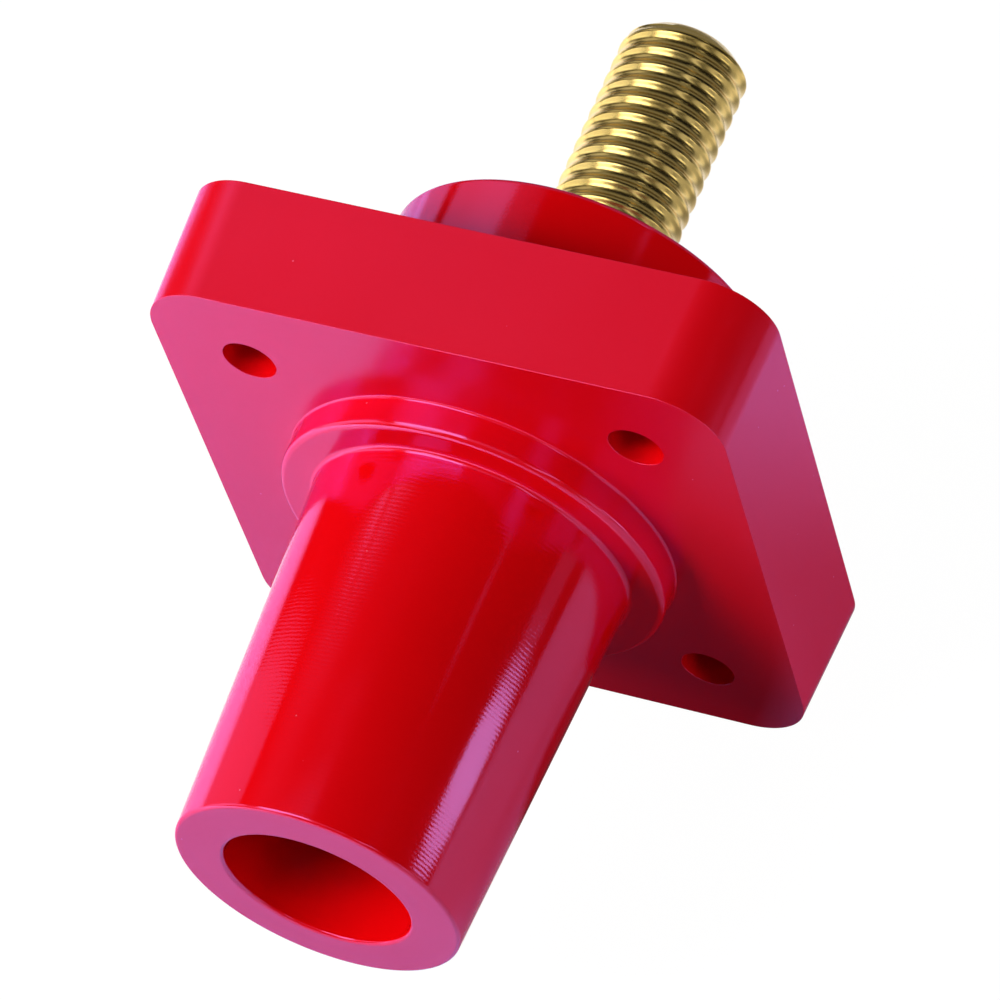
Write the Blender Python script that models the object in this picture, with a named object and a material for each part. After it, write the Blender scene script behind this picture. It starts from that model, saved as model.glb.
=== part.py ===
"""Single pole cam lock receptacle for a panel, in the 400 A size, with a threaded stud.

A red moulded housing holds a brass contact, turned from hexagon bar with its socket and stud in one piece.
A steel pin across the socket's wall is the cam: it runs in the plug's curved slot and draws the plug in
as it is turned.

Frame: +Y runs along the axis from the nose to the stud, +X is to the right seen from the nose and +Z is up.
The origin is on the axis, in the plane of the flange's back, which is the face that lies on the panel.
All lengths are in metres and all angles in degrees.
"""

import math

import bmesh
import bpy
from mathutils import Vector

# Flange
FLANGE_WIDTH = 0.0557
FLANGE_THICKNESS = 0.0124
FLANGE_CORNER_RADIUS = 0.0060
FLANGE_DRAFT_ANGLE = 2.5
FLANGE_EDGE_RADIUS = 0.0004
HOLE_SPACING = 0.0376
HOLE_DIAMETER = 0.0052

# Collar and tapered nose
COLLAR_DIAMETER = 0.0375
COLLAR_HEIGHT = 0.0031
COLLAR_EDGE_RADIUS = 0.0005
NOSE_ROOT_DIAMETER = 0.0307
NOSE_TIP_DIAMETER = 0.0271
NOSE_LENGTH = 0.0370
NOSE_EDGE_RADIUS = 0.0004
NOSE_BORE_DIAMETER = 0.0177
COVE_RADIUS = 0.0005

# Rear boss
BOSS_DIAMETER = 0.0369
BOSS_LENGTH = 0.0125
BOSS_EDGE_RADIUS = 0.0006
BOSS_REAR_WALL = 0.0037

# Contact: its socket
CONTACT_RECESS = 0.0180
BARREL_DIAMETER = 0.0200
BARREL_CHAMFER = 0.0005
SOCKET_DIAMETER = 0.0129
SOCKET_DEPTH = 0.0280
SOCKET_MOUTH_CHAMFER = 0.0008
DRILL_POINT_ANGLE = 118.0

# Contact: its hexagon and stud
HEX_SIDES = 6
HEX_ACROSS_FLATS = 0.0222
HEX_LENGTH = 0.0080
HEX_CHAMFER_ANGLE = 30.0
STUD_DIAMETER = 0.0127
STUD_PROTRUSION = 0.0288
STUD_TIP_DIAMETER = 0.0101
STUD_SHANK_STEP = 0.0010
RELIEF_WIDTH = 0.0015
THREADS_PER_INCH = 13
THREAD_FLANK_ANGLE = 30.0
THREAD_START_ANGLE = 211.0

# Cam pin
PIN_DIAMETER = 0.0048
PIN_REACH = 0.0028
PIN_SETBACK = 0.0070
PIN_CHAMFER = 0.0004

# Clearance between pieces that seat on each other
SEAT_GAP = 0.0003

# How finely round shapes are divided
HOUSING_SEGMENTS = 64
CONTACT_SEGMENTS = 36
PIN_SEGMENTS = 24
HOLE_SEGMENTS = 24
CORNER_STEPS = 8
EDGE_STEPS = 3
SMOOTH_ANGLE = 35.0
RIM_ANGLE = 45.0

# How far a cutter runs past what it cuts
CUT_MARGIN = 0.0020
# How far a rounding runs past the face that it meets, so that the two cross cleanly
CROSSING = 0.00002

# Points closer together than this are one point
MERGE_DISTANCE = 1e-7

INCH = 0.0254

# Stations along the axis
FLANGE_FRONT = -FLANGE_THICKNESS
COLLAR_FRONT = FLANGE_FRONT - COLLAR_HEIGHT
NOSE_END = COLLAR_FRONT - NOSE_LENGTH
BOSS_END = BOSS_LENGTH
CONTACT_FRONT = NOSE_END + CONTACT_RECESS
SOCKET_BOTTOM = CONTACT_FRONT + SOCKET_DEPTH
HEX_REAR = BOSS_END - BOSS_REAR_WALL - SEAT_GAP
HEX_FRONT = HEX_REAR - HEX_LENGTH
STUD_END = BOSS_END + STUD_PROTRUSION
PIN_STATION = CONTACT_FRONT + PIN_SETBACK

# Thread form: a 60 degree V whose crest and root are each flat for a fifth of the pitch
THREAD_PITCH = INCH / THREADS_PER_INCH
THREAD_SLOPE = math.tan(math.radians(THREAD_FLANK_ANGLE))
CREST_FLAT = THREAD_PITCH / 5
ROOT_FLAT = THREAD_PITCH / 5
THREAD_DEPTH = (THREAD_PITCH - CREST_FLAT - ROOT_FLAT) / (2 * THREAD_SLOPE)

# Finishes
RED_PLASTIC = {"colour": (0.72, 0.010, 0.030), "roughness": 0.28, "metallic": 0.0}
TURNED_BRASS = {"colour": (0.80, 0.58, 0.22), "roughness": 0.18, "metallic": 1.0}
HARDENED_STEEL = {"colour": (0.55, 0.56, 0.58), "roughness": 0.30, "metallic": 1.0}


def clear_scene():
    """Removes what the file holds, so that the script can be run again."""
    for item in list(bpy.data.objects):
        bpy.data.objects.remove(item, do_unlink=True)


def make_material(name, colour, roughness, metallic):
    """A plain Principled material."""
    material = bpy.data.materials.new(name)
    material.use_nodes = True
    shader = material.node_tree.nodes["Principled BSDF"]
    shader.inputs["Base Color"].default_value = (*colour, 1.0)
    shader.inputs["Roughness"].default_value = roughness
    shader.inputs["Metallic"].default_value = metallic
    return material


def add_object(name, bm):
    """Turns a bmesh into an object with its faces pointing outwards."""
    bmesh.ops.recalc_face_normals(bm, faces=bm.faces)
    mesh = bpy.data.meshes.new(name)
    bm.to_mesh(mesh)
    bm.free()
    item = bpy.data.objects.new(name, mesh)
    bpy.context.collection.objects.link(item)
    return item


def as_cutter(item):
    """Marks an object that only cuts or shapes another one."""
    item.hide_render = True
    item.display_type = "WIRE"
    return item


def combine(item, tool, operation):
    """Adds a live Boolean to an object and marks the tool as a cutter."""
    step = item.modifiers.new(f"{operation.lower()}_{tool.name}", "BOOLEAN")
    step.operation = operation
    step.solver = "EXACT"
    step.object = as_cutter(tool)


def finish_surface(item, material):
    """Shades an object smooth, except across its real edges, and gives it its material."""
    item.data.materials.append(material)
    item.data.shade_smooth()
    item.data.set_sharp_from_angle(angle=math.radians(SMOOTH_ANGLE))


def arc(radial, axial, radius, start, end):
    """Points of a round edge in a turned profile, each as (radius from the axis, station along it).

    The angles are in degrees: 0 points away from the axis and 90 towards the stud.
    """
    points = []
    for step in range(EDGE_STEPS + 1):
        angle = math.radians(start + (end - start) * step / EDGE_STEPS)
        points.append((radial + radius * math.cos(angle), axial + radius * math.sin(angle)))
    return points


def turned(name, profile, segments):
    """A solid of revolution about the Y axis. Its profile of (radius, station) points ends on the axis."""
    bm = bmesh.new()
    verts = [bm.verts.new((radius, station, 0.0)) for radius, station in profile]
    edges = [bm.edges.new(pair) for pair in zip(verts, verts[1:])]
    bmesh.ops.spin(
        bm,
        geom=verts + edges,
        cent=(0.0, 0.0, 0.0),
        axis=(0.0, 1.0, 0.0),
        angle=math.tau,
        steps=segments,
        use_merge=True,
    )
    bmesh.ops.remove_doubles(bm, verts=bm.verts, dist=MERGE_DISTANCE)
    return add_object(name, bm)


def rounded_square(half_width, corner_radius, station):
    """The outline of the flange at one station, as points running once round the axis."""
    points = []
    centre = half_width - corner_radius
    for corner in range(4):
        middle_x = centre * (1 if corner in (0, 3) else -1)
        middle_z = centre * (1 if corner in (0, 1) else -1)
        for step in range(CORNER_STEPS + 1):
            angle = math.radians(90 * corner + 90 * step / CORNER_STEPS)
            x = middle_x + corner_radius * math.cos(angle)
            z = middle_z + corner_radius * math.sin(angle)
            points.append((x, station, z))
    return points


def hole_profile():
    """Cutter for one mounting hole, straight through the flange."""
    radius = HOLE_DIAMETER / 2
    front = FLANGE_FRONT - CUT_MARGIN
    return [(0.0, front), (radius, front), (radius, CUT_MARGIN), (0.0, CUT_MARGIN)]


def drilled_flange(name):
    """The flange: a drafted square with round corners and four holes, all its rims rounded alike."""
    growth = FLANGE_THICKNESS * math.tan(math.radians(FLANGE_DRAFT_ANGLE))
    bm = bmesh.new()
    front, back = [
        [bm.verts.new(point) for point in rounded_square(half_width, corner_radius, station)]
        for half_width, corner_radius, station in (
            (FLANGE_WIDTH / 2, FLANGE_CORNER_RADIUS, FLANGE_FRONT),
            (FLANGE_WIDTH / 2 + growth, FLANGE_CORNER_RADIUS + growth, 0.0),
        )
    ]
    for i in range(len(front)):
        bm.faces.new((front[i - 1], front[i], back[i], back[i - 1]))
    bm.faces.new(front)
    bm.faces.new(back)
    flange = add_object(name, bm)
    for side in (-1, 1):
        for level in (-1, 1):
            hole = turned(f"hole_cutter_{side}_{level}", hole_profile(), HOLE_SEGMENTS)
            hole.location = Vector((side * HOLE_SPACING / 2, 0.0, level * HOLE_SPACING / 2))
            combine(flange, hole, "DIFFERENCE")
    rims = flange.modifiers.new("rounded_rims", "BEVEL")
    rims.width = FLANGE_EDGE_RADIUS
    rims.segments = EDGE_STEPS
    rims.limit_method = "ANGLE"
    rims.angle_limit = math.radians(RIM_ANGLE)
    return flange


def housing_profile():
    """Outer profile of everything round on the housing, from the nose to the boss, solid to the axis.

    Inside the flange it draws in to a waist, so that it crosses the flange's two faces and not its edges.
    """
    tip = NOSE_TIP_DIAMETER / 2
    root = NOSE_ROOT_DIAMETER / 2
    collar = COLLAR_DIAMETER / 2
    boss = BOSS_DIAMETER / 2
    waist = min(collar, boss) / 2
    points = [(0.0, NOSE_END)]
    points += arc(tip - NOSE_EDGE_RADIUS, NOSE_END + NOSE_EDGE_RADIUS, NOSE_EDGE_RADIUS, -90, 0)
    points += arc(root + COVE_RADIUS, COLLAR_FRONT - COVE_RADIUS, COVE_RADIUS, 180, 90)
    points += arc(collar - COLLAR_EDGE_RADIUS, COLLAR_FRONT + COLLAR_EDGE_RADIUS, COLLAR_EDGE_RADIUS, -90, 0)
    points += arc(collar + COVE_RADIUS, FLANGE_FRONT + CROSSING - COVE_RADIUS, COVE_RADIUS, 180, 90)
    points += [(waist, FLANGE_FRONT / 2), (boss, -CUT_MARGIN)]
    points += arc(boss - BOSS_EDGE_RADIUS, BOSS_END - BOSS_EDGE_RADIUS, BOSS_EDGE_RADIUS, 0, 90)
    points += [(0.0, BOSS_END)]
    return points


def bore_profile():
    """The housing's hollow: the nose's bore, the pocket round the contact's barrel and the stud's hole."""
    bore = NOSE_BORE_DIAMETER / 2
    pocket = BARREL_DIAMETER / 2 + SEAT_GAP
    stud_hole = STUD_DIAMETER / 2 + SEAT_GAP
    pocket_front = CONTACT_FRONT - SEAT_GAP
    mouth = NOSE_END - CROSSING
    points = [(0.0, NOSE_END - CUT_MARGIN), (bore + NOSE_EDGE_RADIUS, NOSE_END - CUT_MARGIN)]
    points += arc(bore + NOSE_EDGE_RADIUS, mouth + NOSE_EDGE_RADIUS, NOSE_EDGE_RADIUS, 270, 180)
    points += [(bore, pocket_front), (pocket, pocket_front)]
    points += [(pocket, HEX_FRONT), (stud_hole, HEX_FRONT)]
    points += [(stud_hole, BOSS_END + CUT_MARGIN), (0.0, BOSS_END + CUT_MARGIN)]
    return points


def hex_corner(across_flats):
    """How far a hexagon's corners lie from its axis."""
    return across_flats / 2 / math.cos(math.pi / HEX_SIDES)


def hex_bar(name, across_flats, front, rear):
    """A length of hexagon bar along Y, with a flat at the top and one at the bottom."""
    corner = hex_corner(across_flats)
    bm = bmesh.new()
    ends = []
    for station in (front, rear):
        ring = []
        for side in range(HEX_SIDES):
            angle = math.tau * side / HEX_SIDES
            ring.append(bm.verts.new((corner * math.cos(angle), station, corner * math.sin(angle))))
        ends.append(ring)
    for side in range(HEX_SIDES):
        bm.faces.new((ends[0][side - 1], ends[0][side], ends[1][side], ends[1][side - 1]))
    bm.faces.new(ends[0])
    bm.faces.new(ends[1])
    return add_object(name, bm)


def build_housing(material):
    """The insulating housing, one moulding: flange, collar, tapered nose and rear boss, bored through."""
    housing = turned("housing", housing_profile(), HOUSING_SEGMENTS)
    combine(housing, drilled_flange("flange_form"), "UNION")
    combine(housing, turned("bore_cutter", bore_profile(), HOUSING_SEGMENTS), "DIFFERENCE")
    pocket = hex_bar(
        "hex_pocket_cutter",
        HEX_ACROSS_FLATS + 2 * SEAT_GAP,
        HEX_FRONT - SEAT_GAP,
        HEX_REAR + SEAT_GAP,
    )
    combine(housing, pocket, "DIFFERENCE")
    finish_surface(housing, material)
    return housing


def contact_profile():
    """Turned envelope of the contact, from the drill point round the barrel, hexagon and stud to its tip."""
    socket = SOCKET_DIAMETER / 2
    barrel = BARREL_DIAMETER / 2
    flat = HEX_ACROSS_FLATS / 2
    corner = hex_corner(HEX_ACROSS_FLATS) + SEAT_GAP
    chamfer = (corner - flat) * math.tan(math.radians(HEX_CHAMFER_ANGLE))
    stud = STUD_DIAMETER / 2
    tip = STUD_TIP_DIAMETER / 2
    relief = stud - THREAD_DEPTH - SEAT_GAP
    relief_start = BOSS_END + STUD_SHANK_STEP
    drill_point = SOCKET_BOTTOM + socket / math.tan(math.radians(DRILL_POINT_ANGLE / 2))
    return [
        (0.0, drill_point),
        (socket, SOCKET_BOTTOM),
        (socket, CONTACT_FRONT + SOCKET_MOUTH_CHAMFER),
        (socket + SOCKET_MOUTH_CHAMFER, CONTACT_FRONT),
        (barrel - BARREL_CHAMFER, CONTACT_FRONT),
        (barrel, CONTACT_FRONT + BARREL_CHAMFER),
        (barrel, HEX_FRONT),
        (flat, HEX_FRONT),
        (corner, HEX_FRONT + chamfer),
        (corner, HEX_REAR - chamfer),
        (flat, HEX_REAR),
        (stud, HEX_REAR),
        (stud, relief_start),
        (relief, relief_start),
        (relief, relief_start + RELIEF_WIDTH),
        (stud, relief_start + RELIEF_WIDTH + stud - relief),
        (stud, STUD_END - (stud - tip)),
        (tip, STUD_END),
        (0.0, STUD_END),
    ]


def thread_groove(name):
    """The V groove of the stud's right-hand thread, as a coil from the relief to past the stud's tip."""
    stud = STUD_DIAMETER / 2
    outer = stud + CREST_FLAT
    root = stud - THREAD_DEPTH
    outer_half = ROOT_FLAT / 2 + (outer - root) * THREAD_SLOPE
    section = [
        (root, -ROOT_FLAT / 2),
        (outer, -outer_half),
        (outer, outer_half),
        (root, ROOT_FLAT / 2),
    ]
    start = BOSS_END + STUD_SHANK_STEP + RELIEF_WIDTH / 2
    turns = (STUD_END + THREAD_PITCH - start) / THREAD_PITCH
    steps = math.ceil(turns * CONTACT_SEGMENTS)
    bm = bmesh.new()
    rings = []
    for step in range(steps + 1):
        angle = math.radians(THREAD_START_ANGLE) + math.tau * step / CONTACT_SEGMENTS
        station = start + THREAD_PITCH * step / CONTACT_SEGMENTS
        ring = []
        for radius, offset in section:
            point = (radius * math.sin(angle), station + offset, radius * math.cos(angle))
            ring.append(bm.verts.new(point))
        rings.append(ring)
    for near, far in zip(rings, rings[1:]):
        for i in range(len(section)):
            bm.faces.new((near[i - 1], near[i], far[i], far[i - 1]))
    bm.faces.new(rings[0])
    bm.faces.new(rings[-1])
    return add_object(name, bm)


def pin_profile(radius, length, chamfer):
    """A round pin along Y, centred on the origin, with its ends chamfered."""
    half = length / 2
    return [
        (0.0, -half),
        (radius - chamfer, -half),
        (radius, -half + chamfer),
        (radius, half - chamfer),
        (radius - chamfer, half),
        (0.0, half),
    ]


def build_contact(material):
    """The contact, turned from hexagon bar: socket barrel, hexagon that stops it turning, threaded stud."""
    contact = hex_bar("contact", HEX_ACROSS_FLATS, CONTACT_FRONT - CUT_MARGIN, STUD_END + CUT_MARGIN)
    combine(contact, turned("contact_envelope", contact_profile(), CONTACT_SEGMENTS), "INTERSECT")
    barrel = BARREL_DIAMETER / 2
    hole = turned(
        "pin_hole_cutter",
        pin_profile(PIN_DIAMETER / 2 + SEAT_GAP, barrel + CUT_MARGIN, 0.0),
        PIN_SEGMENTS,
    )
    hole.rotation_euler = (math.radians(90), 0.0, 0.0)
    hole.location = Vector((0.0, PIN_STATION, (barrel + CUT_MARGIN) / 2))
    combine(contact, hole, "DIFFERENCE")
    combine(contact, thread_groove("thread_cutter"), "DIFFERENCE")
    finish_surface(contact, material)
    return contact


def build_cam_pin(material):
    """The steel cam pin: pressed in through the barrel's wall, just below its surface, into the socket."""
    radius = PIN_DIAMETER / 2
    outer_end = math.sqrt((BARREL_DIAMETER / 2) ** 2 - radius**2)
    inner_end = SOCKET_DIAMETER / 2 - PIN_REACH
    pin = turned("cam_pin", pin_profile(radius, outer_end - inner_end, PIN_CHAMFER), PIN_SEGMENTS)
    pin.rotation_euler = (math.radians(90), 0.0, 0.0)
    pin.location = Vector((0.0, PIN_STATION, (outer_end + inner_end) / 2))
    finish_surface(pin, material)
    return pin


def build_receptacle():
    """Builds the three pieces where they sit in the finished connector."""
    clear_scene()
    build_housing(make_material("red_plastic", **RED_PLASTIC))
    build_contact(make_material("turned_brass", **TURNED_BRASS))
    build_cam_pin(make_material("hardened_steel", **HARDENED_STEEL))


build_receptacle()
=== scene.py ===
import math

import bmesh
import bpy
from mathutils import Matrix, Vector


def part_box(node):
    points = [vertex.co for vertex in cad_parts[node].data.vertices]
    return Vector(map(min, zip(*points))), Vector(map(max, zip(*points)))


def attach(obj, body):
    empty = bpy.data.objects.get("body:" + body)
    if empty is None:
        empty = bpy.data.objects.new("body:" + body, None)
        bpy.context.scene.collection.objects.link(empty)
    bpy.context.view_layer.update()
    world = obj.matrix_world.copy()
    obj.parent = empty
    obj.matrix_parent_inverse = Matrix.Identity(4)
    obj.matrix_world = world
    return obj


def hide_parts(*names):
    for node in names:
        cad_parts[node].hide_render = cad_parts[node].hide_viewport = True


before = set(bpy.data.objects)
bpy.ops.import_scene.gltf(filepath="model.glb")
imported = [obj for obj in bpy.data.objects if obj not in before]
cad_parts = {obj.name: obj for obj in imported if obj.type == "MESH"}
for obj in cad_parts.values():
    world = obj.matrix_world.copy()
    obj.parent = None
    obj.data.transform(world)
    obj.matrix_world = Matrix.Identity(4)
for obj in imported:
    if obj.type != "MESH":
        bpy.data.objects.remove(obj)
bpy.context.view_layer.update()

# The housing is one piece of glossy red insulating plastic, moulded round the contact: a square flange
# with four screw holes, a low collar, a tapered nose with the plug's bore, and a round boss behind.
# It is made here as its mould was: the round parts are turned, the flange is a drafted block.
MM = 0.001
housing_low, housing_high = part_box("housing")
contact_low, contact_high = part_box("contact")
NOSE_END = housing_low.y
BOSS_END = housing_high.y
FLANGE_BACK_WIDTH = housing_high.x - housing_low.x
FLANGE_FRONT_WIDTH = 55.7 * MM
FLANGE_FRONT = -12.4 * MM
FLANGE_CORNER_RADIUS = 6.4 * MM
FLANGE_CORNER_STEPS = 20
FLANGE_RIM_RADIUS = 0.7 * MM
RIM_STEPS = 5
HOLE_SPACING = 37.6 * MM
HOLE_RADIUS = 2.6 * MM
HOLE_STEPS = 72
COLLAR_FRONT = -15.5 * MM
COLLAR_RADIUS = 18.75 * MM
NOSE_ROOT_RADIUS = 15.35 * MM
NOSE_TIP_RADIUS = 13.55 * MM
NOSE_BORE_RADIUS = 8.85 * MM
BOSS_RADIUS = 18.45 * MM
COVE_RADIUS = 0.5 * MM
COLLAR_COVE_RADIUS = 0.3 * MM
COLLAR_EDGE_RADIUS = 0.7 * MM
EDGE_RADIUS = 0.4 * MM
BOSS_EDGE_RADIUS = 0.6 * MM
SEAT_GAP = 0.3 * MM
CROSSING = 0.02 * MM
CUT_MARGIN = 2.0 * MM
WELD = 0.0005 * MM
FILLET_STEPS = 6
TURNED_STEPS = 192


def make_active(piece):
    """Selects one piece alone and makes it the active one."""
    bpy.ops.object.select_all(action="DESELECT")
    piece.select_set(True)
    bpy.context.view_layer.objects.active = piece


def named(name):
    """Names the piece that was just added, settles its place in its mesh and returns it."""
    piece = bpy.context.object
    piece.name = name
    piece.data.name = name
    bpy.ops.object.transform_apply(location=True, rotation=True, scale=True)
    return piece


def filleted(corners):
    """Rounds the corners of a profile. Each corner is (radius from the axis, station, fillet radius)."""
    points = []
    for i, (radial, station, fillet) in enumerate(corners):
        here = Vector((radial, station))
        if not fillet:
            points.append(here)
            continue
        before = (Vector(corners[i - 1][:2]) - here).normalized()
        after = (Vector(corners[(i + 1) % len(corners)][:2]) - here).normalized()
        half_angle = before.angle(after) / 2
        centre = here + (before + after).normalized() * fillet / math.sin(half_angle)
        start = here + before * fillet / math.tan(half_angle) - centre
        end = here + after * fillet / math.tan(half_angle) - centre
        turn = start.angle_signed(end)
        for step in range(FILLET_STEPS + 1):
            points.append(centre + Matrix.Rotation(-turn * step / FILLET_STEPS, 2) @ start)
    return points


def draw_profile(name, points):
    """Draws a profile beside the Y axis, by extruding one vertex from point to point."""
    bpy.ops.object.select_all(action="DESELECT")
    bpy.ops.mesh.primitive_plane_add(size=WELD, location=(points[0].x, points[0].y, 0.0))
    profile = named(name)
    bpy.ops.object.mode_set(mode="EDIT")
    bpy.ops.mesh.select_mode(type="VERT")
    bpy.ops.mesh.select_all(action="SELECT")
    bpy.ops.mesh.merge(type="CENTER")
    for here, there in zip(points, points[1:]):
        step = (there.x - here.x, there.y - here.y, 0.0)
        bpy.ops.mesh.extrude_vertices_move(TRANSFORM_OT_translate={"value": step})
    bpy.ops.object.mode_set(mode="OBJECT")
    return profile


def weld(piece):
    """Merges doubled points and turns all faces outwards."""
    make_active(piece)
    bpy.ops.object.mode_set(mode="EDIT")
    bpy.ops.mesh.select_all(action="SELECT")
    bpy.ops.mesh.remove_doubles(threshold=WELD)
    bpy.ops.mesh.normals_make_consistent(inside=False)
    bpy.ops.object.mode_set(mode="OBJECT")


def turned(name, corners, steps=TURNED_STEPS):
    """Turns a profile once round the connector's axis. It is closed, or starts and ends on the axis."""
    points = filleted(corners)
    if points[0].x > 0 or points[-1].x > 0:
        points.append(points[0])
    piece = draw_profile(name, points)
    bpy.ops.object.mode_set(mode="EDIT")
    bpy.ops.mesh.select_all(action="SELECT")
    bpy.ops.mesh.spin(steps=steps, angle=math.tau, center=(0.0, 0.0, 0.0), axis=(0.0, 1.0, 0.0))
    bpy.ops.object.mode_set(mode="OBJECT")
    weld(piece)
    return piece


def finish_with(piece, kind, **settings):
    """Adds a modifier to a piece, sets it and applies it."""
    make_active(piece)
    step = piece.modifiers.new(kind.lower(), kind)
    for setting, value in settings.items():
        setattr(step, setting, value)
    bpy.ops.object.modifier_apply(modifier=step.name)


def combine(piece, tool, operation):
    """Joins, cuts or trims a piece with a tool, which is then thrown away."""
    finish_with(piece, "BOOLEAN", object=tool, operation=operation, solver="EXACT")
    bpy.data.objects.remove(tool)


def shade(piece, angle=38.0):
    """Shades a piece smooth, except across sharp edges, with its flat faces kept flat."""
    make_active(piece)
    bpy.ops.object.shade_smooth_by_angle(angle=math.radians(angle))
    finish_with(piece, "WEIGHTED_NORMAL", keep_sharp=True, weight=100)


def select_edges(piece, test):
    """In edit mode, selects the edges whose two ends pass a test."""
    bpy.ops.mesh.select_mode(type="EDGE")
    bpy.ops.mesh.select_all(action="DESELECT")
    mesh = bmesh.from_edit_mesh(piece.data)
    for edge in mesh.edges:
        edge.select_set(test(edge.verts[0].co, edge.verts[1].co))
    bmesh.update_edit_mesh(piece.data)


def select_faces(piece, test):
    """In edit mode, selects the faces whose normal passes a test."""
    bpy.ops.mesh.select_mode(type="FACE")
    bpy.ops.mesh.select_all(action="DESELECT")
    mesh = bmesh.from_edit_mesh(piece.data)
    for face in mesh.faces:
        face.select_set(test(face.normal))
    bmesh.update_edit_mesh(piece.data)


def along_axis(start, end):
    """Tells whether an edge runs along the connector's axis."""
    return abs(end.y - start.y) > (end - start).length / 2


bpy.ops.object.select_all(action="DESELECT")
bpy.ops.mesh.primitive_cube_add(
    size=1.0,
    location=(0.0, FLANGE_FRONT / 2, 0.0),
    scale=(FLANGE_BACK_WIDTH, -FLANGE_FRONT, FLANGE_BACK_WIDTH),
)
housing = named("housing_shell")
bpy.ops.object.mode_set(mode="EDIT")
select_faces(housing, lambda normal: normal.y < -0.5)
draft = FLANGE_FRONT_WIDTH / FLANGE_BACK_WIDTH
bpy.ops.transform.resize(value=(draft, 1.0, draft), center_override=(0.0, FLANGE_FRONT, 0.0))
select_edges(housing, along_axis)
bpy.ops.mesh.bevel(offset=FLANGE_CORNER_RADIUS, segments=FLANGE_CORNER_STEPS)
bpy.ops.object.mode_set(mode="OBJECT")

for side in (-1, 1):
    for level in (-1, 1):
        bpy.ops.object.select_all(action="DESELECT")
        bpy.ops.mesh.primitive_cylinder_add(
            vertices=HOLE_STEPS,
            radius=HOLE_RADIUS,
            depth=2 * (CUT_MARGIN - FLANGE_FRONT),
            location=(side * HOLE_SPACING / 2, 0.0, level * HOLE_SPACING / 2),
            rotation=(math.radians(90), 0.0, 0.0),
        )
        combine(housing, named("hole_drill"), "DIFFERENCE")
finish_with(
    housing,
    "BEVEL",
    width=FLANGE_RIM_RADIUS,
    segments=RIM_STEPS,
    limit_method="ANGLE",
    angle_limit=math.radians(45),
)

# Inside, the moulding follows the contact that it holds, with the CAD's gap all round
RECESS = contact_low.y - SEAT_GAP
BARREL_RADIUS = 10.0 * MM
STUD_RADIUS = 6.35 * MM
HEX_ACROSS_FLATS = 22.2 * MM
HEX_RADIUS = HEX_ACROSS_FLATS / 2 / math.cos(math.radians(30))
HEX_FRONT = 0.5 * MM
HEX_REAR = 8.5 * MM
round_body = turned(
    "round_body",
    [
        (NOSE_BORE_RADIUS, NOSE_END, EDGE_RADIUS),
        (NOSE_TIP_RADIUS, NOSE_END, EDGE_RADIUS),
        (NOSE_ROOT_RADIUS, COLLAR_FRONT, COVE_RADIUS),
        (COLLAR_RADIUS, COLLAR_FRONT, COLLAR_EDGE_RADIUS),
        (COLLAR_RADIUS, FLANGE_FRONT + CROSSING, COLLAR_COVE_RADIUS),
        (COLLAR_RADIUS + CUT_MARGIN, FLANGE_FRONT + CROSSING, 0.0),
        (BOSS_RADIUS, -CUT_MARGIN, 0.0),
        (BOSS_RADIUS, BOSS_END, BOSS_EDGE_RADIUS),
        (STUD_RADIUS + SEAT_GAP, BOSS_END, SEAT_GAP),
        (STUD_RADIUS + SEAT_GAP, HEX_FRONT, 0.0),
        (BARREL_RADIUS + SEAT_GAP, HEX_FRONT, 0.0),
        (BARREL_RADIUS + SEAT_GAP, RECESS, 0.0),
        (NOSE_BORE_RADIUS, RECESS, 0.0),
    ],
)
throat = turned(
    "throat",
    [
        (0.0, FLANGE_FRONT - CUT_MARGIN, 0.0),
        (BARREL_RADIUS + SEAT_GAP, FLANGE_FRONT - CUT_MARGIN, 0.0),
        (BARREL_RADIUS + SEAT_GAP, CUT_MARGIN, 0.0),
        (0.0, CUT_MARGIN, 0.0),
    ],
)
combine(housing, throat, "DIFFERENCE")
combine(housing, round_body, "UNION")


def hexagon_bar(name, radius, overrun):
    """A bar of hexagon stock on the axis, which runs past the contact's hexagon by the overrun."""
    bpy.ops.object.select_all(action="DESELECT")
    bpy.ops.mesh.primitive_cylinder_add(
        vertices=6,
        radius=radius,
        depth=HEX_REAR - HEX_FRONT + 2 * overrun,
        location=(0.0, (HEX_FRONT + HEX_REAR) / 2, 0.0),
        rotation=(math.radians(90), 0.0, 0.0),
    )
    bar = named(name)
    bar.rotation_euler = (0.0, math.radians(30), 0.0)
    make_active(bar)
    bpy.ops.object.transform_apply(rotation=True)
    return bar


combine(housing, hexagon_bar("hex_pocket", HEX_RADIUS + 2 * SEAT_GAP, SEAT_GAP), "DIFFERENCE")
shade(housing)


def node_adder(tree):
    """A function that adds a node to a tree, sets it, and sets or links its inputs."""

    def add(kind, inputs=None, **settings):
        node = tree.nodes.new(kind)
        for setting, value in settings.items():
            setattr(node, setting, value)
        for socket, value in (inputs or {}).items():
            if isinstance(value, bpy.types.NodeSocket):
                tree.links.new(value, node.inputs[socket])
            else:
                node.inputs[socket].default_value = value
        return node

    return add


def new_material(name):
    """A material with a Principled shader, and the function that adds its other nodes."""
    material = bpy.data.materials.new(name)
    material.use_nodes = True
    tree = material.node_tree
    return material, tree.nodes["Principled BSDF"], node_adder(tree)


def coat(piece, material):
    """Makes a material the only one of a piece."""
    piece.data.materials.clear()
    piece.data.materials.append(material)


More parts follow.
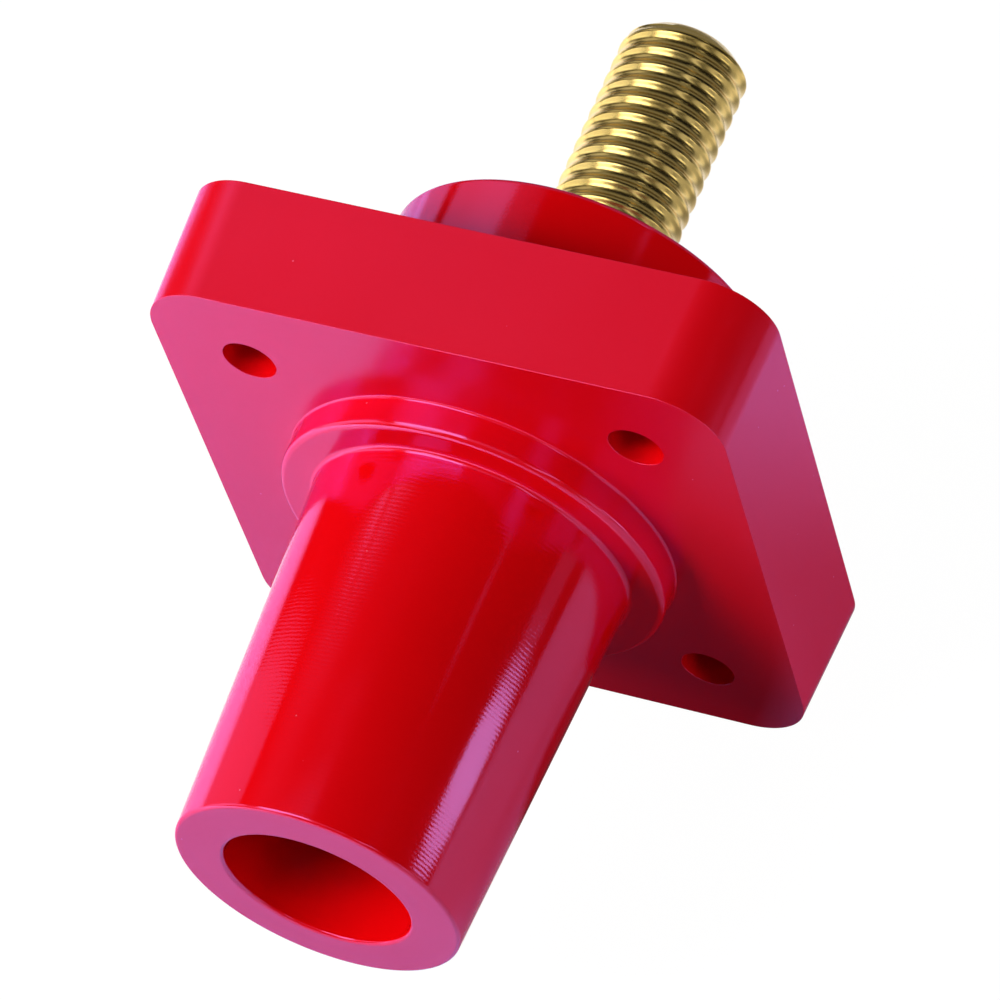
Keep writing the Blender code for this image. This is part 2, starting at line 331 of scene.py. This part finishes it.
RED = (0.60, 0.0004, 0.0010, 1.0)
RED_LIGHT = (0.66, 0.0008, 0.0030, 1.0)
SPECK = (0.72, 0.10, 0.14, 1.0)
GLOSS_PINK = (0.60, 0.33, 1.0, 1.0)
GLOSS_WHITE = (1.0, 0.95, 1.0, 1.0)
MOULD_TURNED = 19.0 * MM
red_plastic, shader, add = new_material("red_moulded_plastic")
links = red_plastic.node_tree.links
place = add("ShaderNodeTexCoord").outputs["Object"]
cloud = add("ShaderNodeTexNoise", {"Vector": place, "Scale": 55.0, "Detail": 4.0})
tone = add("ShaderNodeMix", {0: cloud.outputs["Fac"], 6: RED, 7: RED_LIGHT}, data_type="RGBA")

# A few pale specks of dust lie in the surface
dust = add("ShaderNodeTexVoronoi", {"Vector": place, "Scale": 420.0})
small = add("ShaderNodeMath", {0: dust.outputs["Distance"], 1: 0.034}, operation="LESS_THAN")
chance = add("ShaderNodeSeparateColor", {"Color": dust.outputs["Color"]})
rare = add("ShaderNodeMath", {0: chance.outputs["Red"], 1: 0.75}, operation="GREATER_THAN")
speck = add("ShaderNodeMath", {0: small.outputs[0], 1: rare.outputs[0]}, operation="MULTIPLY")
colour = add("ShaderNodeMix", {0: speck.outputs[0], 6: tone.outputs[2], 7: SPECK}, data_type="RGBA")

# The mould of the nose, collar and boss was turned on a lathe: its fine rings show in the highlights.
# The flange's mould was milled and is a little duller.
flat_place = add("ShaderNodeVectorMath", {0: place, 1: (1.0, 0.0, 1.0)}, operation="MULTIPLY")
from_axis = add("ShaderNodeVectorMath", {0: flat_place.outputs["Vector"]}, operation="LENGTH")
round_part = add(
    "ShaderNodeMath",
    {0: from_axis.outputs["Value"], 1: MOULD_TURNED},
    operation="LESS_THAN",
).outputs[0]
swell = add("ShaderNodeTexNoise", {"Vector": place, "Scale": 160.0, "Detail": 2.0})
waves = add("ShaderNodeBump", {"Height": swell.outputs["Fac"], "Distance": 0.02 * MM}).outputs["Normal"]
rings = add(
    "ShaderNodeTexWave",
    {"Vector": place, "Scale": 760.0, "Distortion": 5.0, "Detail": 3.0, "Detail Scale": 0.4},
    bands_direction="Y",
)
ring_height = add("ShaderNodeMath", {0: rings.outputs["Fac"], 1: round_part}, operation="MULTIPLY")
relief = add(
    "ShaderNodeBump",
    {"Height": ring_height.outputs[0], "Distance": 0.0018 * MM, "Normal": waves},
)
grain = add("ShaderNodeTexNoise", {"Vector": place, "Scale": 4500.0, "Detail": 2.0})
relief = add(
    "ShaderNodeBump",
    {"Height": grain.outputs["Fac"], "Distance": 0.004 * MM, "Normal": relief.outputs["Normal"]},
).outputs["Normal"]
smear = add("ShaderNodeTexNoise", {"Vector": place, "Scale": 120.0, "Detail": 3.0})
base_gloss = add("ShaderNodeMapRange", {"Value": round_part, "To Min": 0.20, "To Max": 0.07})
gloss = add(
    "ShaderNodeMath",
    {0: smear.outputs["Fac"], 1: 0.06, 2: base_gloss.outputs[0]},
    operation="MULTIPLY_ADD",
)

# The plastic itself scatters light, and over it lies a skin that mirrors with a cool pink tinge
shader.inputs["Roughness"].default_value = 0.5
shader.inputs["Specular IOR Level"].default_value = 0.0
links.new(colour.outputs[2], shader.inputs["Base Color"])
links.new(waves, shader.inputs["Normal"])
glancing = add("ShaderNodeFresnel", {"IOR": 2.3, "Normal": relief})
whiter = add("ShaderNodeMapRange", {"Value": glancing.outputs[0], "From Min": 0.30, "From Max": 0.80})
tinge = add("ShaderNodeMix", {0: whiter.outputs[0], 6: GLOSS_PINK, 7: GLOSS_WHITE}, data_type="RGBA")
skin = add(
    "ShaderNodeBsdfGlossy",
    {"Color": tinge.outputs[2], "Roughness": gloss.outputs[0], "Normal": relief},
)
both = add("ShaderNodeMixShader", {0: glancing.outputs[0], 1: shader.outputs[0], 2: skin.outputs[0]})
links.new(both.outputs[0], red_plastic.node_tree.nodes["Material Output"].inputs["Surface"])
coat(housing, red_plastic)
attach(housing, "root")
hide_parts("housing")

# The contact is one bar of brass, turned from hexagon stock: the socket for the plug's contact at the
# front, the hexagon that keeps it from turning in the plastic, and the 1/2-13 stud at the back.
# Its right-hand thread is drawn rounder and much shallower than the CAD's, for the highlights it gives.
STUD_END = contact_high.y
PITCH = 25.4 * MM / 13
CREST_SHARE = 0.16
ROOT_SHARE = 0.30
FLANK_ANGLE = math.radians(57)
THREAD_DEPTH = PITCH * (1 - CREST_SHARE - ROOT_SHARE) / 2 / math.tan(FLANK_ANGLE)
CREST_FILLET = 0.50 * MM
ROOT_FILLET = 0.95 * MM
THREAD_STEPS = 96
SHANK_STEP = 1.0 * MM
SHANK_END = BOSS_END + SHANK_STEP
SHANK_EDGE_RADIUS = 0.1 * MM
RELIEF_WIDTH = 1.5 * MM
RELIEF_END = SHANK_END + RELIEF_WIDTH
RELIEF_RADIUS = STUD_RADIUS - THREAD_DEPTH - SEAT_GAP
RELIEF_FILLET = 0.3 * MM
TIP_RADIUS = 5.05 * MM
TIP_FILLET = 0.3 * MM
TIP_EDGE_RADIUS = 0.15 * MM
SOCKET_RADIUS = 6.45 * MM
SOCKET_MOUTH = 0.8 * MM
SOCKET_DEPTH = 28.0 * MM
SOCKET_BOTTOM = contact_low.y + SOCKET_DEPTH
DRILL_POINT_ANGLE = 118
DRILL_POINT = SOCKET_RADIUS / math.tan(math.radians(DRILL_POINT_ANGLE / 2))
BARREL_CHAMFER = 0.5 * MM
PIN_RADIUS = 2.4 * MM
PIN_SETBACK = 7.0 * MM
PIN_STATION = contact_low.y + PIN_SETBACK
PIN_HOLE_STEPS = 48
# Where the groove's middle crosses the +X side, near the boss
GROOVE_STATION = BOSS_END + 1.093 * MM

thread_turns = math.ceil((STUD_END - GROOVE_STATION) / PITCH) + 2
first_groove = GROOVE_STATION - PITCH
half_root = PITCH * ROOT_SHARE / 2
half_crest = PITCH * CREST_SHARE / 2
root_radius = STUD_RADIUS - THREAD_DEPTH
one_turn = filleted(
    [
        (root_radius, first_groove, 0.0),
        (root_radius, first_groove + half_root, ROOT_FILLET),
        (STUD_RADIUS, first_groove + PITCH / 2 - half_crest, CREST_FILLET),
        (STUD_RADIUS, first_groove + PITCH / 2 + half_crest, CREST_FILLET),
        (root_radius, first_groove + PITCH - half_root, ROOT_FILLET),
        (root_radius, first_groove + PITCH, 0.0),
    ]
)
contact = draw_profile("contact_brass", one_turn)
finish_with(
    contact,
    "SCREW",
    axis="Y",
    angle=math.tau,
    screw_offset=PITCH,
    iterations=thread_turns,
    steps=THREAD_STEPS,
    render_steps=THREAD_STEPS,
    merge_threshold=WELD,
    use_smooth_shade=True,
)
weld(contact)
bpy.ops.object.mode_set(mode="EDIT")
bpy.ops.mesh.select_mode(type="EDGE")
middle = (first_groove + STUD_END) / 2
for end in (-1, 1):
    bpy.ops.mesh.select_all(action="DESELECT")
    bpy.ops.mesh.select_non_manifold(extend=False, use_wire=False, use_multi_face=False)
    mesh = bmesh.from_edit_mesh(contact.data)
    for edge in mesh.edges:
        if edge.select and (edge.verts[0].co.y - middle) * end < 0:
            edge.select_set(False)
    bmesh.update_edit_mesh(contact.data)
    bpy.ops.mesh.extrude_edges_move()
    bpy.ops.mesh.merge(type="CENTER")
bpy.ops.object.mode_set(mode="OBJECT")
weld(contact)

stud_blank = turned(
    "stud_blank",
    [
        (0.0, RELIEF_END - SEAT_GAP, 0.0),
        (RELIEF_RADIUS, RELIEF_END - SEAT_GAP, 0.0),
        (RELIEF_RADIUS, RELIEF_END, 0.0),
        (STUD_RADIUS + CROSSING, RELIEF_END + STUD_RADIUS - RELIEF_RADIUS, 0.0),
        (STUD_RADIUS + CROSSING, STUD_END - STUD_RADIUS + TIP_RADIUS, TIP_FILLET),
        (TIP_RADIUS, STUD_END, TIP_EDGE_RADIUS),
        (0.0, STUD_END, 0.0),
    ],
)
combine(contact, stud_blank, "INTERSECT")
barrel = turned(
    "barrel",
    [
        (0.0, SOCKET_BOTTOM + DRILL_POINT, 0.0),
        (SOCKET_RADIUS, SOCKET_BOTTOM, 0.0),
        (SOCKET_RADIUS, contact_low.y + SOCKET_MOUTH, 0.0),
        (SOCKET_RADIUS + SOCKET_MOUTH, contact_low.y, 0.0),
        (BARREL_RADIUS - BARREL_CHAMFER, contact_low.y, 0.0),
        (BARREL_RADIUS, contact_low.y + BARREL_CHAMFER, 0.0),
        (BARREL_RADIUS, HEX_FRONT + CROSSING, 0.0),
        (STUD_RADIUS, HEX_FRONT + CUT_MARGIN, 0.0),
        (STUD_RADIUS, SHANK_END, SHANK_EDGE_RADIUS),
        (RELIEF_RADIUS, SHANK_END, RELIEF_FILLET),
        (RELIEF_RADIUS, RELIEF_END + CROSSING, 0.0),
        (0.0, RELIEF_END + CROSSING, 0.0),
    ],
)
combine(barrel, hexagon_bar("hexagon", HEX_RADIUS, 0.0), "UNION")
combine(contact, barrel, "UNION")
bpy.ops.object.select_all(action="DESELECT")
bpy.ops.mesh.primitive_cylinder_add(
    vertices=PIN_HOLE_STEPS,
    radius=PIN_RADIUS + SEAT_GAP,
    depth=BARREL_RADIUS + CUT_MARGIN,
    location=(0.0, PIN_STATION, (BARREL_RADIUS + CUT_MARGIN) / 2),
)
combine(contact, named("pin_drill"), "DIFFERENCE")
shade(contact, angle=40.0)

BRASS = (0.88, 0.66, 0.24, 1.0)
BRASS_DEEP = (0.84, 0.57, 0.14, 1.0)
brass, shader, add = new_material("turned_brass")
links = brass.node_tree.links
place = add("ShaderNodeTexCoord").outputs["Object"]
cloud = add("ShaderNodeTexNoise", {"Vector": place, "Scale": 220.0, "Detail": 4.0})
tone = add("ShaderNodeMix", {0: cloud.outputs["Fac"], 6: BRASS, 7: BRASS_DEEP}, data_type="RGBA")
gloss = add("ShaderNodeMapRange", {"Value": cloud.outputs["Fac"], "To Min": 0.20, "To Max": 0.28})
wear = add("ShaderNodeTexNoise", {"Vector": place, "Scale": 900.0, "Detail": 3.0})
relief = add("ShaderNodeBump", {"Height": wear.outputs["Fac"], "Distance": 0.003 * MM})
shader.inputs["Metallic"].default_value = 1.0
shader.inputs["Coat Weight"].default_value = 0.3
shader.inputs["Coat Roughness"].default_value = 0.12
links.new(tone.outputs[2], shader.inputs["Base Color"])
links.new(gloss.outputs[0], shader.inputs["Roughness"])
links.new(relief.outputs["Normal"], shader.inputs["Normal"])
coat(contact, brass)
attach(contact, "root")
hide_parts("contact")

# The cam pin is a short dowel of hardened steel, pressed into a cross hole of the contact's socket.
# It is the cam that the plug's curved slot runs on.
pin_low, pin_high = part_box("cam_pin")
PIN_CHAMFER = 0.4 * MM
PIN_STEPS = 64
STEEL = (0.60, 0.61, 0.62, 1.0)
STEEL_DULL = (0.50, 0.51, 0.52, 1.0)
bpy.ops.object.select_all(action="DESELECT")
bpy.ops.mesh.primitive_cylinder_add(
    vertices=PIN_STEPS,
    radius=PIN_RADIUS,
    depth=pin_high.z - pin_low.z,
    location=(0.0, PIN_STATION, (pin_low.z + pin_high.z) / 2),
)
pin = named("cam_dowel")
bpy.ops.object.mode_set(mode="EDIT")
select_edges(pin, lambda start, end: abs(start.z - end.z) < WELD)
bpy.ops.mesh.bevel(offset=PIN_CHAMFER, segments=3)
bpy.ops.object.mode_set(mode="OBJECT")
shade(pin)
steel, shader, add = new_material("ground_steel")
links = steel.node_tree.links
place = add("ShaderNodeTexCoord").outputs["Object"]
cloud = add("ShaderNodeTexNoise", {"Vector": place, "Scale": 700.0, "Detail": 4.0})
tone = add("ShaderNodeMix", {0: cloud.outputs["Fac"], 6: STEEL, 7: STEEL_DULL}, data_type="RGBA")
gloss = add("ShaderNodeMapRange", {"Value": cloud.outputs["Fac"], "To Min": 0.20, "To Max": 0.36})
grinding = add(
    "ShaderNodeTexWave",
    {"Vector": place, "Scale": 2600.0, "Distortion": 2.0, "Detail": 2.0},
    bands_direction="Z",
)
relief = add("ShaderNodeBump", {"Height": grinding.outputs["Fac"], "Distance": 0.002 * MM})
shader.inputs["Metallic"].default_value = 1.0
links.new(tone.outputs[2], shader.inputs["Base Color"])
links.new(gloss.outputs[0], shader.inputs["Roughness"])
links.new(relief.outputs["Normal"], shader.inputs["Normal"])
coat(pin, steel)
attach(pin, "root")
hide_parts("cam_pin")

# The floor is a plain white table just under the flange. Seen by the camera it is almost all white of
# itself, so that only a faint shadow is left.
FLOOR_GAP = 0.5 * MM
FLOOR_LEVEL = housing_low.z - FLOOR_GAP
WHITE_SHARE = 0.97
bpy.ops.object.select_all(action="DESELECT")
bpy.ops.mesh.primitive_plane_add(size=8.0, location=(0.0, 0.0, FLOOR_LEVEL))
floor = named("floor")
white, shader, add = new_material("white_table")
shader.inputs["Base Color"].default_value = (0.86, 0.86, 0.86, 1.0)
shader.inputs["Roughness"].default_value = 0.9
seen = add("ShaderNodeLightPath").outputs["Is Camera Ray"]
share = add("ShaderNodeMath", {0: seen, 1: WHITE_SHARE}, operation="MULTIPLY")
glow = add("ShaderNodeEmission", {"Color": (1.0, 1.0, 1.0, 1.0), "Strength": 1.02})
blend = add("ShaderNodeMixShader", {0: share.outputs[0], 1: shader.outputs[0], 2: glow.outputs[0]})
surface = white.node_tree.nodes["Material Output"]
white.node_tree.links.new(blend.outputs[0], surface.inputs["Surface"])
coat(floor, white)
floor.visible_diffuse = False
floor.visible_glossy = False
floor.visible_shadow = False

# In the photograph the connector lies on its nose's tip and its flange's lower edge. A white card in
# that plane, which the camera doesn't see, throws the table's light and reflection on it.
CARD_LEFT = -0.80
CARD_RIGHT = 0.23
CARD_DEPTH = 1.6
CARD_LEVEL = -FLANGE_FRONT_WIDTH / 2 - FLOOR_GAP
CORNER_PAINTED_LIGHT = 0.40
SHADOW_PLACE = (8.0 * MM, -17.0 * MM, 0.0)
rise = math.atan2(FLANGE_FRONT_WIDTH / 2 - NOSE_TIP_RADIUS, FLANGE_FRONT - NOSE_END)
bpy.ops.object.select_all(action="DESELECT")
bpy.ops.mesh.primitive_plane_add(
    size=1.0,
    location=((CARD_LEFT + CARD_RIGHT) / 2, FLANGE_FRONT, CARD_LEVEL),
    rotation=(-rise, 0.0, 0.0),
    scale=(CARD_RIGHT - CARD_LEFT, CARD_DEPTH, 1.0),
)
card = named("table_card")
# The card's colour and glow are painted light and shade, seen only where the connector mirrors the card.
paper, shader, add = new_material("card_with_painted_light")
place = add("ShaderNodeTexCoord").outputs["Object"]
across = add("ShaderNodeSeparateXYZ", {"Vector": place})
# Painted shade: the card is painted darker towards the right, and painted lighter again at its far right
# corner, behind the flange.
painted_shade_right = add(
    "ShaderNodeMapRange",
    {
        "Value": across.outputs["X"],
        "From Min": 12.0 * MM,
        "From Max": 30.0 * MM,
        "To Min": 0.90,
        "To Max": 0.42,
    },
)
far_right = add(
    "ShaderNodeMapRange",
    {"Value": across.outputs["X"], "From Min": 33.0 * MM, "From Max": 45.0 * MM},
)
behind = add(
    "ShaderNodeMapRange",
    {"Value": across.outputs["Y"], "From Min": 8.0 * MM, "From Max": 30.0 * MM},
)
too_far = add(
    "ShaderNodeMapRange",
    {
        "Value": across.outputs["X"],
        "From Min": 66.0 * MM,
        "From Max": 90.0 * MM,
        "To Min": 1.0,
        "To Max": 0.0,
    },
)
far_side = add("ShaderNodeMath", {0: far_right.outputs[0], 1: behind.outputs[0]}, operation="MULTIPLY")
far_corner = add("ShaderNodeMath", {0: far_side.outputs[0], 1: too_far.outputs[0]}, operation="MULTIPLY")
painted_table_shade = add(
    "ShaderNodeMath",
    {0: far_corner.outputs[0], 1: CORNER_PAINTED_LIGHT, 2: painted_shade_right.outputs[0]},
    operation="MULTIPLY_ADD",
)
# Painted shadow: round SHADOW_PLACE, in front of the flange under the nose's right side, the card is
# painted dark where the connector's shadow falls.
flat_place = add("ShaderNodeVectorMath", {0: place, 1: (1.0, 1.0, 0.0)}, operation="MULTIPLY")
away = add(
    "ShaderNodeVectorMath",
    {0: flat_place.outputs["Vector"], 1: SHADOW_PLACE},
    operation="DISTANCE",
)
shadow = add(
    "ShaderNodeMapRange",
    {"Value": away.outputs["Value"], "From Min": 14.0 * MM, "From Max": 18.0 * MM, "To Min": 0.10},
)
painted_card_shade = add(
    "ShaderNodeMath",
    {0: painted_table_shade.outputs[0], 1: shadow.outputs[0]},
    operation="MULTIPLY",
)
# Painted light: the card glows of itself though it is no lamp, more towards the left and at the far
# right corner.
painted_card_glow = add(
    "ShaderNodeMapRange",
    {
        "Value": across.outputs["X"],
        "From Min": -20.0 * MM,
        "From Max": -120.0 * MM,
        "To Min": 0.20,
        "To Max": 0.60,
    },
)
painted_glow_strength = add(
    "ShaderNodeMath",
    {0: far_corner.outputs[0], 1: CORNER_PAINTED_LIGHT, 2: painted_card_glow.outputs[0]},
    operation="MULTIPLY_ADD",
)
# The painted shade and shadow set both the card's colour and the colour of its painted glow.
for socket in ("Base Color", "Emission Color"):
    paper.node_tree.links.new(painted_card_shade.outputs[0], shader.inputs[socket])
paper.node_tree.links.new(painted_glow_strength.outputs[0], shader.inputs["Emission Strength"])
shader.inputs["Roughness"].default_value = 0.9
coat(card, paper)
card.visible_camera = False
card.visible_diffuse = False
card.visible_shadow = False

# The studio round the table is dark, so that the plastic stays deep red where it mirrors it. The camera
# sees white there.
ROOM_FILL = 0.03
TABLE_FILL = 0.14
DARK_SIDE = 0.004
FRONT_SIDE = 0.06
REAR_SIDE = 0.20
LEFT_GLOW = 0.15
LEFT_GLOW_TOWARDS = (-0.541, 0.601, 0.588)
world = bpy.data.worlds.new("studio")
bpy.context.scene.world = world
world.use_nodes = True
room = world.node_tree
background = room.nodes["Background"]
background.inputs["Color"].default_value = (1.0, 1.0, 1.0, 1.0)
add = node_adder(room)
rays = add("ShaderNodeLightPath")


def fade(value, start, end, full):
    """Fades from 0 to its full brightness as a value goes from start to end."""
    inputs = {"Value": value, "From Min": start, "From Max": end, "To Max": full}
    return add("ShaderNodeMapRange", inputs, interpolation_type="SMOOTHSTEP").outputs[0]


heading = add("ShaderNodeTexCoord").outputs["Generated"]
parts = add("ShaderNodeSeparateXYZ", {"Vector": heading})
leftwards = add("ShaderNodeVectorMath", {0: heading, 1: LEFT_GLOW_TOWARDS}, operation="DOT_PRODUCT")
front = fade(parts.outputs["Y"], 0.25, -0.15, FRONT_SIDE)
rear = fade(parts.outputs["Y"], 0.58, 0.80, REAR_SIDE)
left = fade(leftwards.outputs["Value"], 0.92, 1.0, LEFT_GLOW)
in_front = add("ShaderNodeMath", {0: front, 1: DARK_SIDE})
all_round = add("ShaderNodeMath", {0: in_front.outputs[0], 1: rear})
mirrored = add("ShaderNodeMath", {0: all_round.outputs[0], 1: left})
filling = add(
    "ShaderNodeMapRange",
    {
        "Value": parts.outputs["Z"],
        "From Min": 0.1,
        "From Max": -0.3,
        "To Min": ROOM_FILL,
        "To Max": TABLE_FILL,
    },
)
level = add(
    "ShaderNodeMapRange",
    {
        "Value": rays.outputs["Is Glossy Ray"],
        "To Min": filling.outputs[0],
        "To Max": mirrored.outputs[0],
    },
)
strength = add(
    "ShaderNodeMapRange",
    {"Value": rays.outputs["Is Camera Ray"], "To Min": level.outputs[0], "To Max": 1.0},
)
room.links.new(strength.outputs[0], background.inputs["Strength"])


def softbox(name, place, target, size, radiance, mirrored=True):
    """A soft light that faces its target, or straight down if it has none. Its radiance is how bright
    its face looks, with 1 as white. Where it isn't mirrored, it only lights."""
    light = bpy.data.lights.new(name, "AREA")
    light.shape = "RECTANGLE"
    light.size = size[0]
    light.size_y = size[1]
    light.energy = radiance * math.pi * size[0] * size[1]
    lamp = bpy.data.objects.new(name, light)
    bpy.context.scene.collection.objects.link(lamp)
    lamp.location = place
    if target:
        lamp.rotation_euler = (Vector(target) - Vector(place)).to_track_quat("-Z", "Y").to_euler()
    lamp.visible_camera = False
    lamp.visible_glossy = mirrored
    return lamp


# Four softboxes light the connector from the left, above, the right and behind. The panels, cards and
# tubes are there to be mirrored: in the plastic as soft bands and streaks, in the brass as crescents.
FLANGE_MIDDLE = (0.0, -0.01, 0.0)
STUD_MIDDLE = (0.0, 0.03, 0.0)
softbox("left_softbox", (-0.25, -0.14, 0.15), FLANGE_MIDDLE, (0.16, 0.16), 9.2, mirrored=False)
softbox("top_softbox", (-0.320, -0.335, 0.500), FLANGE_MIDDLE, (0.26, 0.26), 20.0, mirrored=False)
softbox("top_panel", (-0.317, -0.330, 0.495), FLANGE_MIDDLE, (0.26, 0.26), 1.6)
softbox("right_softbox", (0.48, -0.085, 0.02), FLANGE_MIDDLE, (0.30, 0.30), 4.6, mirrored=False)
softbox("rear_right_softbox", (0.20, 0.35, 0.20), (0.0, 0.0, 0.0), (0.16, 0.16), 5.0, mirrored=False)
softbox("left_panel", (-0.25, 0.02, 0.055), (0.0, 0.02, 0.055), (0.08, 0.19), 0.38)
softbox("rear_left_panel", (-0.290, 0.215, 0.190), (0.0, 0.02, 0.01), (0.14, 0.24), 0.5)
softbox("rear_left_low", (-0.270, 0.158, -0.035), (0.0, 0.01, 0.016), (0.08, 0.13), 0.75)
softbox("rear_top_card", (-0.295, 0.250, 0.50), None, (0.25, 0.06), 0.32)
right_lamp = softbox("right_lamp", (0.150, 0.007, 0.004), (0.01, -0.046, 0.0), (0.024, 0.052), 1.9)
right_lamp.data.shape = "ELLIPSE"
softbox("right_strip", (0.150, 0.030, 0.006), (0.01, -0.03, 0.0), (0.022, 0.030), 0.12)
softbox("rear_right_card", (0.150, 0.100, -0.010), (0.005, 0.03, 0.005), (0.030, 0.040), 0.5)
softbox("rear_tube", (0.150, 0.178, 0.176), (0.004, 0.033, 0.005), (0.060, 0.010), 3.0)
softbox("front_tube", (0.150, 0.045, 0.151), (0.008, -0.025, 0.012), (0.014, 0.005), 0.30)

# Seen from the camera, only the brass mirrors these five. They light nothing.
brass_panels = (
    softbox("crest_panel", (-0.20, -0.07, 0.46), None, (0.38, 0.26), 3.3),
    softbox("overhead_card", (0.12, -0.08, 0.50), None, (0.26, 0.24), 0.22),
    softbox("left_card", (-0.40, -0.06, 0.15), (0.0, 0.03, 0.006), (0.24, 0.30), 1.0),
    softbox("right_panel", (0.30, -0.10, 0.07), STUD_MIDDLE, (0.16, 0.10), 0.5),
    softbox("streak_tube", (0.150, -0.06, 0.160), STUD_MIDDLE, (0.14, 0.030), 1.2),
)
for panel in brass_panels:
    panel.visible_diffuse = False

# The camera looks down past the nose from the right, with a long lens, as the photograph does
AIM = Vector((-0.855, -8.022, -4.011)) * MM
DISTANCE = 536.33 * MM
HEADING = math.radians(-38.468)
DIP = math.radians(55.099)
ROLL = math.radians(-20.097)
camera = bpy.data.cameras.new("camera")
camera.lens = 210.06
camera.sensor_width = 36.0
camera.clip_start = 0.01
camera.clip_end = 50.0
viewer = bpy.data.objects.new("camera", camera)
bpy.context.scene.collection.objects.link(viewer)
ahead = Vector(
    (math.sin(HEADING) * math.cos(DIP), math.cos(HEADING) * math.cos(DIP), -math.sin(DIP))
)
viewer.matrix_world = (
    Matrix.Translation(AIM - ahead * DISTANCE)
    @ ahead.to_track_quat("-Z", "Y").to_matrix().to_4x4()
    @ Matrix.Rotation(ROLL, 4, "Z")
)
bpy.context.scene.camera = viewer
bpy.context.scene.view_settings.view_transform = "Standard"
